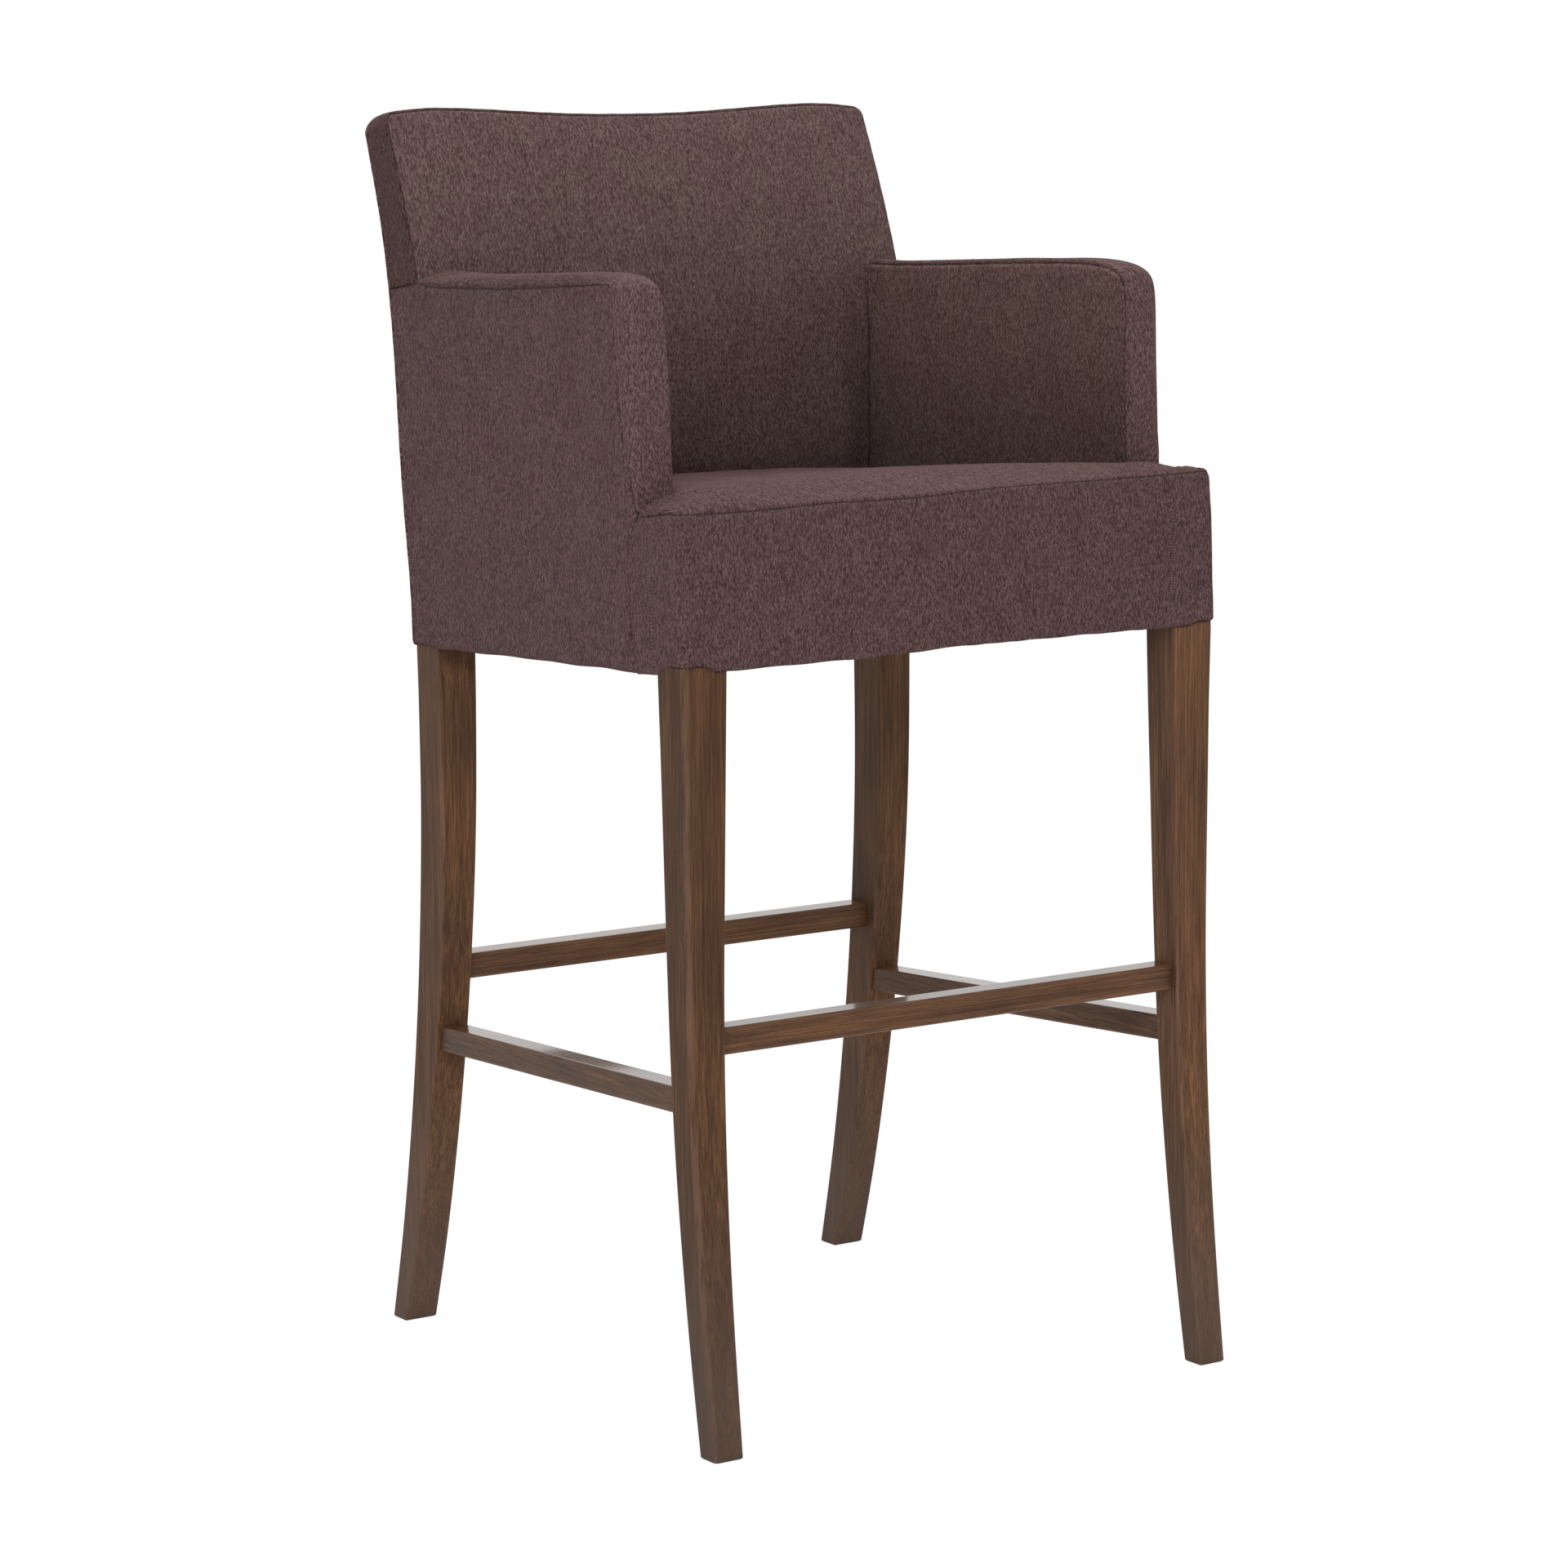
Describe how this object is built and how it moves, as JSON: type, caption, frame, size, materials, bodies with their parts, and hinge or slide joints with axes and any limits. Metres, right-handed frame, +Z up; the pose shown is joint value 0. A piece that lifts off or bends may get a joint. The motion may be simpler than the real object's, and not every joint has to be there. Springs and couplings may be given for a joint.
{
  "type": "bar stool with arms",
  "caption": "High upholstered armchair for a bar counter: padded seat, straight arms and raked back in woven cloth, on curved wooden legs joined by stretchers.",
  "frame": {"origin": "on the floor, under the middle of the chair's bounding box", "axes": "+Z up, the chair's front faces -Y, +X is to the right for somebody who stands in front of it"},
  "size_m": [0.5576, 0.5772, 1.0968],
  "materials": {
    "stained_wood": "satin walnut-brown stain",
    "plain_wood": "raw planed beech",
    "cloth": "matt two-tone weave, aubergine and beige",
    "foam": "open-cell foam",
    "webbing": "elastic webbing",
    "lining": "thin non-woven lining",
    "steel": "zinc plated"
  },
  "bodies": {
    "root": {"arm_foam_left": "foam", "arm_foam_right": "foam", "arm_inner_cover_left": "cloth", "arm_inner_cover_right": "cloth", "arm_post_left": "plain_wood", "arm_post_right": "plain_wood", "arm_rail_left": "plain_wood", "arm_rail_right": "plain_wood", "arm_strip_left": "cloth", "arm_strip_right": "cloth", "back_boxing": "cloth", "back_cover_front": "cloth", "back_cover_rear": "cloth", "back_foam_front": "foam", "back_foam_rear": "foam", "back_low_rail": "plain_wood", "back_top_rail": "plain_wood", "block_screw_front_left_across": "steel", "block_screw_front_left_along": "steel", "block_screw_front_right_across": "steel", "block_screw_front_right_along": "steel", "block_screw_rear_left_across": "steel", "block_screw_rear_left_along": "steel", "block_screw_rear_right_across": "steel", "block_screw_rear_right_along": "steel", "corner_block_front_left": "plain_wood", "corner_block_front_right": "plain_wood", "corner_block_rear_left": "plain_wood", "corner_block_rear_right": "plain_wood", "dust_cover": "lining", "front_band_cover": "cloth", "front_leg_left": "stained_wood", "front_leg_right": "stained_wood", "front_pad": "foam", "front_stretcher": "stained_wood", "rear_leg_left": "stained_wood", "rear_leg_right": "stained_wood", "rear_stretcher": "stained_wood", "seat_cover": "cloth", "seat_foam": "foam", "seat_rail_front": "plain_wood", "seat_rail_left": "plain_wood", "seat_rail_rear": "plain_wood", "seat_rail_right": "plain_wood", "side_cover_left": "cloth", "side_cover_right": "cloth", "side_pad_left": "foam", "side_pad_right": "foam", "side_stretcher_left": "stained_wood", "side_stretcher_right": "stained_wood", "strap_crossways_1": "webbing", "strap_crossways_2": "webbing", "strap_crossways_3": "webbing", "strap_crossways_4": "webbing", "strap_lengthways_1": "webbing", "strap_lengthways_2": "webbing", "strap_lengthways_3": "webbing", "strap_lengthways_4": "webbing", "strap_lengthways_5": "webbing"}
  },
  "joints": []
}
